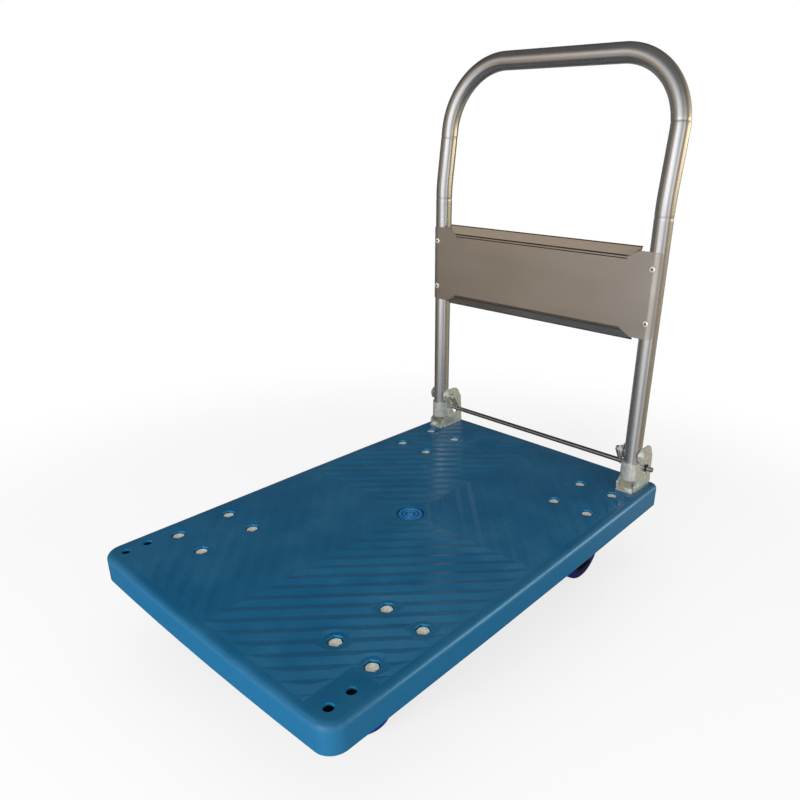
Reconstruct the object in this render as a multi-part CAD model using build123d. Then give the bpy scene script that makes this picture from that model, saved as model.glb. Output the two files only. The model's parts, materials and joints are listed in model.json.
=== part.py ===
from build123d import *
import os
from math import atan2, cos, hypot, pi, radians, sin, sqrt

# Folding platform cart: a moulded deck on two fixed and two swivel casters, with a bent tube
# handle that folds forward over the deck. Millimetres; Z is up and the floor is at Z = 0.
# X runs across the deck, Y from the free end (-Y) to the handle (+Y).

# Deck
deck_length = 720.0
deck_width = 480.0
deck_top = 146.0
deck_depth = 38.0
deck_edge_round = 9.0
deck_wall = 4.0
deck_skin = 5.0
rib_pitch = 60.0
rib_thick = 3.0
rib_lift = 2.0

# Deck corners at the free end and at the handle: rounding, and how far the bowed edges draw in
free_corner = 24.0
free_bow = (3.5, 4.0)
handle_corner = 12.0
handle_bow = (1.75, 2.0)

# Raised tread field on the deck, with its four corners left out
tread_rise = 0.9
tread_border = 17.0
tread_corner_x = 186.0
tread_corner_y = 280.0

# Caster fixing: the plate's bolt pattern and the pads that it is bolted to
caster_x = 169.0
caster_y = 225.0
bolt_x = 60.0
bolt_y = 80.0
pad_x = 100.0
pad_y = 120.0
pad_face = 126.0
pocket_flats = 18.0
pocket_depth = 9.0

# Tie holes at the free end
tie_x = 210.0
tie_y = (304.0, 334.0)
tie_hole = 6.25
corner_pad_x = 44.0
corner_pad_y = 66.0

# Round plug in the middle of the deck
plug_radius = 20.0
plug_recess = 21.0
plug_depth = 3.5
plug_stem = 5.9
plug_stem_hole = 6.2

# Handle: leg places, bends and tube
leg_x = 208.0
leg_y = 304.0
tube_radius = 14.0
tube_wall = 1.3
lean_start = deck_top + 448.0
lean_back = 27.5
handle_axis_top = deck_top + 645.6
top_bend = 104.0
lean_bend = 150.0

# Hinge: pivot height over the deck, bracket sheet and running gap
pivot_z = deck_top + 65.0
bracket_sheet = 2.0
side_gap = 0.35
cheek_in = tube_radius + side_gap
cheek_out = cheek_in + bracket_sheet
web_low = 21.0
web_high = 50.0
bracket_bolt_spots = ((6.5, -9.5), (2.0, 30.0))

# Release rod: its place from the pivot, its travel and the angle that the handle folds
rod_radius = 4.0
rod_half = 238.0
rod_back = 18.0
rod_down = 28.5
rod_travel = 12.0
fold_angle = pi / 2
cam_gap = 0.5

# Panel across the legs
panel_mid = deck_top + 320.0
panel_sheet = 1.2
panel_wrap = radians(47)
panel_fold_half = 166.0
panel_flange_half = 184.0
panel_face_half = 53.5
panel_ear_half = 64.0
panel_flange_reach = 69.0
panel_flange_depth = 9.0
screw_rise = 40.0

# Wheels and forks
wheel_radius = 50.0
wheel_width = 27.0
rim_radius = 38.0
hub_half = 15.5
bush_radius = 8.0
axle_radius = 5.0
fork_gap = 32.0
fork_sheet = 2.5
fork_boss = 14.0
plate_x = 85.0
plate_y = 105.0
plate_thick = 3.0
trail = 36.0
swivel_yaw = {"left": 162.0, "right": 130.0}

# Running fit of a turning piece on its pin
running_fit = 0.06

# Bolt sizes: shank radius, flats and head height
M10 = (5.0, 16.8, 6.4)
M8 = (4.0, 13.0, 5.3)
nut_height = 8.0
washer_thick = 2.0


def ring(outer, inner, height, bottom=0.0):
    """A plain tube about Z that stands on the level bottom."""
    tube = Cylinder(outer, height) - Cylinder(inner, height)
    return Pos(0, 0, bottom + height / 2) * tube


def rod(radius, low, high):
    """A plain round bar about Z between two levels."""
    return Pos(0, 0, (low + high) / 2) * Cylinder(radius, high - low)


def hex_prism(flats, height, bottom=0.0):
    """A six-sided prism with a corner towards Y and chamfered corners on top."""
    corner = flats / sqrt(3)
    prism = extrude(RegularPolygon(corner, 6, rotation=30), height)
    turned = extrude(Circle(corner), height)
    crown = chamfer(turned.edges().group_by(Axis.Z)[-1], corner - flats / 2 * 0.94, 0.8)
    return Pos(0, 0, bottom) * (prism & crown)


def hex_bolt(size, seat, tip):
    """A hex bolt that stands head up: its head rests on seat and its shank ends at tip."""
    shank, flats, head = size
    return rod(shank, tip, seat + 0.01) + hex_prism(flats, head, seat)


def nut(size, height, bottom):
    """A hex nut round the bolt's shank."""
    shank, flats, _ = size
    return hex_prism(flats, height, bottom) - rod(shank + 0.05, bottom - 1, bottom + height + 1)


def mirror_x(shape):
    return mirror(shape, about=Plane.YZ)


def both_sides(shape):
    return [shape, mirror_x(shape)]


def lay_along_x(shape):
    """Turns a piece made about Z so that its +Z end points along +X."""
    return Rot(0, 90, 0) * shape


def caster_places():
    return [(sx * caster_x, sy * caster_y) for sx in (-1, 1) for sy in (-1, 1)]


def caster_bolt_places():
    return [
        (x + sx * bolt_x / 2, y + sy * bolt_y / 2)
        for x, y in caster_places()
        for sx in (-1, 1)
        for sy in (-1, 1)
    ]


def bracket_bolt_places():
    return [(sx * (leg_x + x), leg_y + y) for sx in (-1, 1) for x, y in bracket_bolt_spots]


def tie_places():
    return [(sx * tie_x, -y) for sx in (-1, 1) for y in tie_y]


def copies(shape, places):
    return [Pos(x, y, 0) * shape for x, y in places]


# Deck: one moulding, hollow below, with a grid of ribs, thick pads over the casters and
# thick corners for the brackets and tie holes.
deck_low = deck_top - deck_depth
skin_low = deck_top - deck_skin


def deck_outline(inset):
    half_w = deck_width / 2 - inset
    half_l = deck_length / 2 - inset
    free_x, free_y = half_w - free_bow[0], free_bow[1] - half_l
    handle_x, handle_y = half_w - handle_bow[0], half_l - handle_bow[1]
    sides = [
        ThreePointArc((-free_x, free_y), (0, -half_l), (free_x, free_y)),
        ThreePointArc((free_x, free_y), (half_w, 0), (handle_x, handle_y)),
        ThreePointArc((handle_x, handle_y), (0, half_l), (-handle_x, handle_y)),
        ThreePointArc((-handle_x, handle_y), (-half_w, 0), (-free_x, free_y)),
    ]
    face = make_face(sides)
    face = fillet(face.vertices().group_by(Axis.Y)[0], free_corner - inset)
    sharp = [vertex for vertex in face.vertices() if vertex.Y > handle_y - 0.1]
    return fillet(sharp, handle_corner - inset)


def tread_field():
    """The low raised field that carries the tread, standing on the deck's top."""
    x = deck_width / 2 - tread_border
    y = deck_length / 2 - tread_border
    right = [
        (tread_corner_x, -y),
        (tread_corner_x, -tread_corner_y),
        (x, -tread_corner_y),
        (x, tread_corner_y),
        (tread_corner_x, tread_corner_y),
        (tread_corner_x, y),
    ]
    left = [(-px, -py) for px, py in right]
    outline = make_face(FilletPolyline(*right, *left, radius=6.0, close=True))
    return Pos(0, 0, deck_top) * extrude(outline, tread_rise)


def make_deck():
    block = Pos(0, 0, deck_low) * extrude(deck_outline(0), deck_depth)
    block = fillet(block.faces().sort_by(Axis.Z)[-1].edges(), deck_edge_round)
    hollow_depth = deck_depth - deck_skin
    hollow = Pos(0, 0, deck_low) * extrude(deck_outline(deck_wall), hollow_depth)

    rib_low = deck_low + rib_lift
    rib_height = skin_low - rib_low
    rib_mid = (skin_low + rib_low) / 2
    cross = [
        Pos(0, n * rib_pitch, rib_mid) * Box(deck_width, rib_thick, rib_height)
        for n in range(-5, 6)
    ]
    along = [
        Pos(n * rib_pitch, 0, rib_mid) * Box(rib_thick, deck_length, rib_height)
        for n in range(-3, 4)
    ]
    ribs = Part() + cross + along
    wells = [
        Pos(x, y, deck_low) * extrude(Rectangle(pad_x, pad_y), pad_face - deck_low)
        for x, y in caster_places()
    ]
    pads = [
        Pos(x, y, pad_face) * extrude(Rectangle(pad_x, pad_y), skin_low - pad_face)
        for x, y in caster_places()
    ]
    tie_mid = (tie_y[0] + tie_y[1]) / 2
    corners = [
        Pos(sx * tie_x, sy * tie_mid, pad_face)
        * extrude(Rectangle(corner_pad_x, corner_pad_y), skin_low - pad_face)
        for sx in (-1, 1)
        for sy in (-1, 1)
    ]
    corner_wells = [
        Pos(sx * tie_x, sy * tie_mid, deck_low)
        * extrude(Rectangle(corner_pad_x, corner_pad_y), pad_face - deck_low)
        for sx in (-1, 1)
        for sy in (-1, 1)
    ]
    ribs = ribs - wells - corner_wells
    deck = block - hollow + ((ribs + pads + corners) & hollow) + tread_field()

    pocket = extrude(RegularPolygon(pocket_flats / sqrt(3), 6, rotation=30), deck_depth)
    pocket = Pos(0, 0, deck_top - pocket_depth) * pocket
    bolt_hole = rod(M10[0] + 0.3, deck_low, deck_top)
    deck = deck - copies(pocket + bolt_hole, caster_bolt_places())
    deck = deck - copies(rod(M8[0] + 0.3, deck_low, deck_top + 1), bracket_bolt_places())
    deck = deck - copies(rod(tie_hole, deck_low, deck_top + 1), tie_places())
    deck = deck - rod(plug_recess, deck_top - plug_depth, deck_top + 2)
    return deck - rod(plug_stem_hole, deck_low, deck_top)


def make_plug():
    """Push-in plug: a disc with two round grooves, a low boss in the middle and a stem."""
    floor = deck_top - plug_depth
    disc = rod(plug_radius, floor, deck_top)
    for radius in (8.5, 14.0):
        disc = disc - ring(radius + 1.0, radius - 1.0, 2.0, deck_top - 0.8)
    boss = Pos(0, 0, deck_top - 12.0 + 0.6) * Sphere(12.0)
    boss = boss & rod(4.5, deck_top - 1, deck_top + 2)
    return disc + boss + rod(plug_stem, skin_low - 6.0, floor + 0.01)


# Caster fasteners: hex bolts sunk in the deck's pockets, washers and nuts under the plates
pocket_floor = deck_top - pocket_depth
plate_low = pad_face - plate_thick
washer_low = plate_low - washer_thick
nut_low = washer_low - nut_height

caster_bolt = hex_bolt(M10, pocket_floor, nut_low - 3.0)
caster_washer = ring(10.0, M10[0] + 0.4, washer_thick, washer_low)
caster_nut = nut(M10, nut_height, nut_low)


# Hinge bracket: a pressed channel with two cheeks, a round web in front of the leg and a base
def cheek_outline():
    points = [(-13, 0), (45, 0), (41, 54), (29, 75.5), (3, 75.5), (0, web_low), (-13, 13)]
    plate = make_face(FilletPolyline(*points, radius=[5, 4, 16, 16, 0, 2, 5], close=True))
    lobe = Pos(0, pivot_z - deck_top) * Circle(12.0)
    return plate + lobe


def slide_direction():
    """Unit direction, in Y and Z, in which the rod moves away from the pivot."""
    reach = hypot(rod_back, rod_down)
    return rod_back / reach, -rod_down / reach


def make_bracket():
    """The right-hand bracket, standing on the deck at its own leg."""
    cheek_face = Plane.YZ * cheek_outline()
    cheek = Pos(cheek_in, 0, 0) * extrude(cheek_face, bracket_sheet)
    web = ring(cheek_out, cheek_in, web_high - web_low, web_low)
    web = web & Pos(0, -20, 40) * Box(60, 40, 80)
    base = Pos(0, 11.5, bracket_sheet / 2) * Box(2 * cheek_in + 0.2, 57, bracket_sheet)
    bracket = web + both_sides(cheek) + base

    dy, dz = slide_direction()
    slot_mid = (rod_back + dy * rod_travel / 2, pivot_z - deck_top - rod_down + dz * rod_travel / 2)
    slot = SlotCenterToCenter(rod_travel, 2 * (rod_radius + 0.3), rotation=atan2(dz, dy) * 180 / pi)
    slot = Plane.YZ * Pos(*slot_mid) * slot
    bracket = bracket - extrude(slot, 30, both=True)
    pin_hole = Pos(0, 0, pivot_z - deck_top) * lay_along_x(Cylinder(M8[0] + 0.1, 60))
    bracket = bracket - pin_hole
    for spot in bracket_bolt_spots:
        bracket = bracket - Pos(*spot, 0) * Cylinder(M8[0] + 0.3, 10)
    return Pos(leg_x, leg_y, deck_top) * bracket


bracket_washer_low = pad_face - 1.6
bracket_nut_low = bracket_washer_low - 6.5
bracket_bolt = hex_bolt(M8, deck_top + bracket_sheet, bracket_nut_low - 3.0)
bracket_washer = ring(8.5, M8[0] + 0.4, 1.6, bracket_washer_low)
bracket_nut = nut(M8, 6.5, bracket_nut_low)

# Pivot bolts: head outside, nut inside, with a plain end that carries the spring's loop
pivot_at = Pos(leg_x, leg_y, pivot_z)
pivot_tip = 30.0
spring_x = leg_x - 27.5


def make_pivot_bolt():
    return pivot_at * lay_along_x(hex_bolt(M8, cheek_out, -pivot_tip))


def make_pivot_nut():
    return pivot_at * lay_along_x(nut(M8, 6.5, -cheek_out - 6.5))


# Handle tube: two legs, a slight lean back at chest height and two large top bends
leg_end = pivot_z - 22.0


def make_handle_tube():
    left = [(-leg_x, leg_y, leg_end), (-leg_x, leg_y, lean_start)]
    left.append((-leg_x, leg_y + lean_back, handle_axis_top))
    right = [(-x, y, z) for x, y, z in reversed(left)]
    bends = [lean_bend, top_bend, top_bend, lean_bend]
    path = FilletPolyline(*left, *right, radius=bends)
    start = Plane(origin=path @ 0, z_dir=path % 0)
    tube = sweep(start * Circle(tube_radius), path=path)
    tube = tube - sweep(start * Circle(tube_radius - tube_wall), path=path)
    for side in (-1, 1):
        tube = tube - Pos(side * leg_x, leg_y, pivot_z) * lay_along_x(Cylinder(6.05, 40))
        for rise in (-screw_rise, screw_rise):
            hole = Rot(90, 0, 0) * Cylinder(2.05, 12)
            tube = tube - Pos(side * leg_x, leg_y - tube_radius, panel_mid + rise) * hole
    return tube


def make_pivot_sleeve():
    """Steel sleeve through the leg, on which the handle turns about the pivot bolt."""
    sleeve = ring(6.0, M8[0] + running_fit, 2 * tube_radius, -tube_radius)
    return pivot_at * lay_along_x(sleeve)


def cam_point(angle):
    """A point of the leg's end cam, from the pivot. The rod moves out evenly with the fold."""
    start = atan2(rod_back, rod_down)
    reach = hypot(rod_back, rod_down) + rod_travel * (start - angle) / fold_angle
    reach = reach - rod_radius - cam_gap
    return reach * sin(angle), -reach * cos(angle)


def make_leg_cam():
    """Plug in the leg's end; its spiral end face pushes the rod along its slots in the fold."""
    leg_low = leg_end - pivot_z
    plug = rod(tube_radius - tube_wall - 0.05, leg_low, leg_low + 12)
    foot = rod(tube_radius, leg_low - 16, leg_low)
    spiral = ThreePointArc(*[cam_point(radians(a)) for a in (31, 0, -27)])
    front, rear = spiral @ 1, spiral @ 0
    rim = Polyline((front.X, front.Y), (front.X, 0), (rear.X, 0), (rear.X, rear.Y))
    above = extrude(Plane.YZ * make_face([spiral, *rim.edges()]), 20, both=True)
    return pivot_at * ((plug + foot) & above)


# Panel: a flat sheet with ears bent round the front of the legs, and edges folded back between
# the legs. Its own Y runs back from its front face and its Z up from its middle.
panel_back = leg_y - tube_radius - 0.05
panel_front = panel_back - panel_sheet


def panel_sheet_outline():
    right = [
        (panel_fold_half, -panel_face_half),
        (panel_flange_half + 1, -panel_ear_half),
        (leg_x, -panel_ear_half),
        (leg_x, panel_ear_half),
        (panel_flange_half + 1, panel_ear_half),
        (panel_fold_half, panel_face_half),
    ]
    left = [(-x, -z) for x, z in right]
    return make_face(Polyline(*right, *left, close=True))


def make_panel_ear():
    """The right-hand ear's end: a strip bent round the leg from its front to its outer side."""
    inner = tube_radius + 0.05
    outer = inner + panel_sheet
    middle = Vector(leg_x, outer)

    def spot(radius, turn):
        return middle + Vector(sin(turn), -cos(turn)) * radius

    turns = (0, panel_wrap / 2, panel_wrap)
    front = ThreePointArc(*[spot(outer, turn) for turn in turns])
    back = ThreePointArc(*[spot(inner, turn) for turn in turns])
    ends = [Line(front @ 0, back @ 0), Line(front @ 1, back @ 1)]
    strip = extrude(make_face([front, back, *ends]), panel_ear_half, both=True)
    corners = strip.edges().filter_by(lambda edge: abs(edge.length - panel_sheet) < 0.01)
    return fillet(corners.sort_by(Axis.X)[-2:], 5.0)


def make_panel():
    sheet = extrude(Plane.XZ * panel_sheet_outline(), -panel_sheet)
    rise = panel_flange_reach - panel_face_half - 1.5
    slope = hypot(panel_flange_depth, rise)
    across = (panel_sheet * rise / slope, -panel_sheet * panel_flange_depth / slope)
    bend = panel_face_half + 1.5
    tip = (panel_flange_depth, panel_flange_reach)
    inner_bend = bend + across[1] + (panel_sheet - across[0]) * rise / panel_flange_depth
    profile = [
        (0, panel_face_half - 4),
        (0, bend),
        tip,
        (tip[0] + across[0], tip[1] + across[1]),
        (panel_sheet, inner_bend),
        (panel_sheet, panel_face_half - 4),
    ]
    rounding = [0, 4.0, 0, 0, 4.0 - panel_sheet, 0]
    section = make_face(FilletPolyline(*profile, radius=rounding, close=True))
    flange = extrude(Plane.YZ * section, panel_flange_half, both=True)
    panel = sheet + flange + mirror(flange, about=Plane.XY)
    panel = panel + make_panel_ear() + mirror_x(make_panel_ear())

    fold = Vector(panel_fold_half, 0, panel_face_half - 2)
    ear = Vector(panel_flange_half + 1, 0, panel_ear_half)
    end = Vector(panel_flange_half, *tip)
    gusset = extrude(make_face(Polyline(fold, ear, end, close=True)), panel_sheet, dir=(0, 1, 0))
    gussets = both_sides(gusset)
    panel = panel + gussets + [mirror(piece, about=Plane.XY) for piece in gussets]
    for side in (-1, 1):
        for rise in (-screw_rise, screw_rise):
            panel = panel - Pos(side * leg_x, 0, rise) * Rot(90, 0, 0) * Cylinder(2.05, 10)
    return Pos(0, panel_front, panel_mid) * panel


def make_panel_screws():
    """Pan-head screws through the panel's ears into the legs."""
    dome = Pos(0, 0, -5.2) * Sphere(7.4) & rod(4.0, 0, 4)
    screw = dome + rod(2.0, -10, 0.01)
    screw = screw - Pos(0, 0, 2.0) * (Box(4.4, 0.9, 1.6) + Box(0.9, 4.4, 1.6))
    screw = Rot(90, 0, 0) * screw
    return [
        Pos(side * leg_x, panel_front, panel_mid + rise) * screw
        for side in (-1, 1)
        for rise in (-screw_rise, screw_rise)
    ]


# Release rod behind the legs, with a retaining clip in a groove at each end
rod_y = leg_y + rod_back
rod_z = pivot_z - rod_down
clip_x = leg_x + cheek_out + 2.0


def make_release_rod():
    bar = Cylinder(rod_radius, 2 * rod_half)
    bar = chamfer(bar.edges().filter_by(GeomType.CIRCLE), 0.8)
    groove = ring(rod_radius + 1, 3.2, 1.2, clip_x - 0.1)
    bar = bar - groove - mirror(groove, about=Plane.XY)
    return Pos(0, rod_y, rod_z) * lay_along_x(bar)


def make_rod_clips():
    clip = ring(7.0, 3.25, 1.0, clip_x) - Pos(6, 0, clip_x) * Box(12, 3.6, 4)
    clip = Pos(0, rod_y, rod_z) * lay_along_x(clip)
    return both_sides(clip)


# Rod springs: tension springs from the pivot bolt's inner end to the rod
spring_wire = 0.6
spring_coil = 3.4
spring_turns = 10
spring_loop = 4.9
spring_lead = 7.0
loop_sweep = radians(250)


def biarc(p, t, q, u):
    """Two arcs from p with direction t to q with direction u, smooth where they meet."""
    v = q - p
    lean = 1 - t.dot(u)
    along = v.dot(t + u)
    reach = (sqrt(along * along + 2 * lean * v.dot(v)) - along) / (2 * lean)
    joint = (p + q + (t - u) * reach) / 2
    first = Edge.make_tangent_arc(p, t, joint)
    return [first, Edge.make_tangent_arc(joint, first % 1, q)]


def make_rod_spring():
    """One wire for the right-hand spring: a loop, a straight coil and a second loop."""
    top = Vector(spring_x, leg_y, pivot_z)
    low = Vector(spring_x, rod_y, rod_z)
    axis = (low - top).normalized()
    side = Vector(1, 0, 0)
    out = side.cross(axis)
    coil_length = (low - top).length - 2 * spring_lead
    pitch = coil_length / spring_turns

    def loop_spot(centre, turn):
        spot = centre + (out * cos(turn) + axis * sin(turn)) * spring_loop
        return spot, axis * cos(turn) - out * sin(turn)

    def coil_spot(turn):
        radial = out * cos(turn) + side * sin(turn)
        tangent = side * cos(turn) - out * sin(turn)
        spot = top + axis * (spring_lead + pitch * turn / (2 * pi)) + radial * spring_coil
        return spot, (tangent * spring_coil + axis * pitch / (2 * pi)).normalized()

    quarters = 4 * spring_turns
    spots = [loop_spot(top, -loop_sweep * (1 - n / 3)) for n in range(4)]
    spots += [coil_spot(n * pi / 2) for n in range(quarters + 1)]
    spots += [loop_spot(low, loop_sweep * n / 3) for n in range(4)]
    edges = []
    for (p, t), (q, u) in zip(spots, spots[1:]):
        edges += biarc(p, t, q, u)
    wire = Wire(edges)
    start = Plane(origin=wire @ 0, z_dir=wire % 0)
    tube = sweep(start * Circle(spring_wire), path=wire)
    report_spring(wire, tube)
    return tube


def report_spring(wire, tube):
    """Prints the wire's least gap to itself and its volume against section times length."""
    count = 900
    points = [wire @ (n / count) for n in range(count + 1)]
    step = wire.length / count
    apart = int(3.5 * spring_coil / step)
    least = min(
        (points[n] - points[m]).length
        for n in range(count + 1)
        for m in range(n + apart, count + 1)
    )
    share = tube.volume / (pi * spring_wire**2 * wire.length)
    print(f"spring: least gap {least - 2 * spring_wire:.2f} mm, volume share {share:.3f}")


# Casters, made about their own centre: the wheel's axle along X and its trail along +Y
def fork_leg(top_low, top_high, top_level, axle_y):
    """One cheek of a fork: a tapered sheet from the crown down to a round boss at the axle."""
    points = [(top_low, top_level), (top_high, top_level), (axle_y + fork_boss, wheel_radius)]
    points.append((axle_y - fork_boss, wheel_radius))
    sheet = make_face(Polyline(*points, close=True)) + Pos(axle_y, wheel_radius) * Circle(fork_boss)
    sheet = sheet - Pos(axle_y, wheel_radius) * Circle(axle_radius + 0.05)
    return Pos(fork_gap / 2, 0, 0) * extrude(Plane.YZ * sheet, fork_sheet)


def caster_plate():
    plate = extrude(RectangleRounded(plate_x, plate_y, 8), plate_thick)
    holes = [
        Pos(sx * bolt_x / 2, sy * bolt_y / 2, 0) * Cylinder(M10[0] + 0.5, 20)
        for sx in (-1, 1)
        for sy in (-1, 1)
    ]
    return Pos(0, 0, plate_low) * (plate - holes)


def make_fixed_fork():
    legs = both_sides(fork_leg(-34, 34, plate_low, 0))
    return caster_plate() + legs


race_low = 109.0
ball_radius = 2.5
ball_ring = 20.0
fork_crown = 106.0


def make_swivel_plate():
    """Top plate with the upper ball race pressed into it."""
    race = ring(25.0, 15.0, plate_low - 118.5, 118.5)
    return caster_plate() + race - rod(6.0, 100, 130)


def make_swivel_balls():
    count = 16
    level = (112.5 + 118.5) / 2
    return [
        Rot(0, 0, n * 360 / count) * Pos(ball_ring, 0, level) * Sphere(ball_radius)
        for n in range(count)
    ]


def make_kingpin():
    """Rivet that holds the fork under the plate, with its head below the crown."""
    return rod(5.95, fork_crown - 0.4, pad_face - 0.1) + rod(10.0, fork_crown - 4.0, fork_crown - 0.3)


def make_swivel_fork():
    crown = rod(30.0, fork_crown, race_low)
    crown = crown + Pos(0, 2, (fork_crown + race_low) / 2) * Box(37, 60, race_low - fork_crown)
    race = ring(25.0, 15.0, 3.5, race_low)
    legs = both_sides(fork_leg(-26, 32, race_low, trail))
    return crown + race + legs - rod(5.95 + running_fit, 100, 120)


def make_axle():
    """Axle bolt along X through the fork, head on the right."""
    outside = fork_gap / 2 + fork_sheet
    bolt = hex_bolt(M10, outside, -outside - 11.0)
    return Pos(0, 0, wheel_radius) * lay_along_x(bolt)


def make_axle_nut():
    outside = fork_gap / 2 + fork_sheet
    return Pos(0, 0, wheel_radius) * lay_along_x(nut(M10, nut_height, -outside - nut_height))


def turn_about_axle(profile):
    """A wheel piece turned about X from half a section, given as width along X and radius."""
    section = make_face(profile)
    return Pos(0, 0, wheel_radius) * revolve(Plane.XZ * section, Axis.X, 360)


def make_tyre():
    """Soft tread with a slightly crowned face and rounded shoulders."""
    half = wheel_width / 2
    wall_top = (half, wheel_radius - 6)
    shoulder = (half - 1.5, wheel_radius - 2.5)
    tread = (half - 5, wheel_radius - 0.8)

    def left(point):
        return -point[0], point[1]

    sides = Polyline(wall_top, (half, rim_radius), (-half, rim_radius), left(wall_top))
    round_right = ThreePointArc(wall_top, shoulder, tread)
    round_left = ThreePointArc(left(wall_top), left(shoulder), left(tread))
    crown = ThreePointArc(left(tread), (0, wheel_radius), tread)
    return turn_about_axle([*sides.edges(), round_right, round_left, crown])


def make_wheel_core():
    """Rim, web and hub of the wheel."""
    rim = wheel_width / 2 - 0.5
    points = [(-hub_half, bush_radius), (-hub_half, 15), (-4, 17), (-4, 31), (-rim, 33)]
    points += [(-rim, rim_radius)]
    points += [(-x, r) for x, r in reversed(points)]
    return turn_about_axle(Polyline(*points, close=True).edges())


def make_wheel_bush():
    bush = ring(bush_radius, axle_radius + running_fit, 2 * hub_half, -hub_half)
    return Pos(0, 0, wheel_radius) * lay_along_x(bush)


nodes = {
    "deck_shell": make_deck(),
    "centre_plug": make_plug(),
    "caster_bolts": copies(caster_bolt, caster_bolt_places()),
    "caster_washers": copies(caster_washer, caster_bolt_places()),
    "caster_nuts": copies(caster_nut, caster_bolt_places()),
    "bracket_bolts": copies(bracket_bolt, bracket_bolt_places()),
    "bracket_washers": copies(bracket_washer, bracket_bolt_places()),
    "bracket_nuts": copies(bracket_nut, bracket_bolt_places()),
    "pivot_nuts": both_sides(make_pivot_nut()),
    "handle_tube": make_handle_tube(),
    "handle_panel": make_panel(),
    "panel_screws": make_panel_screws(),
    "release_rod": make_release_rod(),
    "rod_clips": make_rod_clips(),
}

# Hinge pieces that come as a right and a left one
hinge_pieces = {
    "bracket": make_bracket(),
    "pivot_bolt": make_pivot_bolt(),
    "pivot_sleeve": make_pivot_sleeve(),
    "leg_cam": make_leg_cam(),
    "rod_spring": make_rod_spring(),
}
for name, piece in hinge_pieces.items():
    nodes[f"{name}_right"] = piece
    nodes[f"{name}_left"] = mirror_x(piece)

# Casters: fixed ones at the handle, swivel ones turned to their rest yaw at the free end
fixed_pieces = {
    "fixed_fork": make_fixed_fork(),
    "fixed_axle": make_axle(),
    "fixed_axle_nut": make_axle_nut(),
    "rear_tyre": make_tyre(),
    "rear_wheel_core": make_wheel_core(),
    "rear_wheel_bush": make_wheel_bush(),
}
trailing = Pos(0, trail, 0)
swivel_pieces = {
    "swivel_plate": make_swivel_plate(),
    "swivel_balls": make_swivel_balls(),
    "kingpin": make_kingpin(),
    "swivel_fork": make_swivel_fork(),
    "swivel_axle": trailing * make_axle(),
    "swivel_axle_nut": trailing * make_axle_nut(),
    "front_tyre": trailing * make_tyre(),
    "front_wheel_core": trailing * make_wheel_core(),
    "front_wheel_bush": trailing * make_wheel_bush(),
}
for side, sign in (("left", -1), ("right", 1)):
    for name, piece in fixed_pieces.items():
        nodes[f"{name}_{side}"] = Pos(sign * caster_x, caster_y, 0) * piece
    for name, piece in swivel_pieces.items():
        yaw = 0 if name == "swivel_plate" else swivel_yaw[side]
        place = Pos(sign * caster_x, -caster_y, 0) * Rot(0, 0, yaw)
        if isinstance(piece, list):
            nodes[f"{name}_{side}"] = [place * ball for ball in piece]
        else:
            nodes[f"{name}_{side}"] = place * piece

os.makedirs("parts", exist_ok=True)
for name, piece in nodes.items():
    shape = Compound(piece) if isinstance(piece, list) else piece
    export_step(shape, f"parts/{name}.step")
print(len(nodes), "nodes")
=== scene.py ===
import json
from math import cos, exp, pi, radians, sin, sqrt, tan

import bmesh
import bpy
from mathutils import Matrix, Vector

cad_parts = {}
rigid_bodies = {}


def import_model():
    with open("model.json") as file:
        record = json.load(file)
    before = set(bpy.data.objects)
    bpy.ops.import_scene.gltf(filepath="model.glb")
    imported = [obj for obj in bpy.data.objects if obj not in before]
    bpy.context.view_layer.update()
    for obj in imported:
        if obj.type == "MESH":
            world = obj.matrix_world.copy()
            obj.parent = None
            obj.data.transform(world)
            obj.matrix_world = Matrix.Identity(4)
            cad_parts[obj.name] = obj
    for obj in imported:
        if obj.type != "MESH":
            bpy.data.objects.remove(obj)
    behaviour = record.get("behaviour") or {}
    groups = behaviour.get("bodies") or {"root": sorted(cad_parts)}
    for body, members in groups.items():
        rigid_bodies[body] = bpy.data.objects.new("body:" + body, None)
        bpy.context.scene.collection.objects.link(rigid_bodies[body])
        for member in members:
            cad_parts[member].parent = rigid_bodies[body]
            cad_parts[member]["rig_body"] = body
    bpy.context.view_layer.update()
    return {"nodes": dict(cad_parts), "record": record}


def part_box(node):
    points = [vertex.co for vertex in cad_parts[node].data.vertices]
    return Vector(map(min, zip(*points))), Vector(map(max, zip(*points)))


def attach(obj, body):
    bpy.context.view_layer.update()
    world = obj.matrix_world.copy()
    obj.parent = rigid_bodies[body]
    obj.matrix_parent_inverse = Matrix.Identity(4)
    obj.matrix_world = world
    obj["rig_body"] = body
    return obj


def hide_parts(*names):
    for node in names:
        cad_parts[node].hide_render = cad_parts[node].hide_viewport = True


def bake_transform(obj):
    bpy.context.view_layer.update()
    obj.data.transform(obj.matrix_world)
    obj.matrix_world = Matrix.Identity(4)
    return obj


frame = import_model()

# Deck: one blue polypropylene moulding, open and ribbed below, with a rounded top edge. Hex
# pockets for the caster bolts and plain tie holes are moulded through its top skin. Their upper
# walls are painted a lighter blue as painted light, darkening downwards as painted shade, and
# their floors are painted near black as painted shade.
mm = 0.001
field_rise = 0.9 * mm
deck_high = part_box("deck_shell")[1]
deck_top = deck_high.z - field_rise
deck_blue = (13, 78, 113)
deck_blue_worn = (22, 86, 120)
painted_light_side_blue = (26, 95, 135)
side_slopes = (0.1, 0.8)
painted_reflection_grey = (48, 54, 60)
painted_reflection_share = 0.7
deck_edge = 0.5 * mm
pocket_reach = 12 * mm
tie_reach = 7 * mm
pocket_lip = 0.1 * mm
pocket_shade = (2.5 * mm, 5 * mm)
pocket_painted_shade_colour = (6, 10, 14)
pocket_floor_slope = 0.5
weld_gap = 0.002 * mm
merge_gap = 0.01 * mm
flat_angle = radians(0.4)
soft_edge = 0.3 * mm
edge_crease = 32


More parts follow.
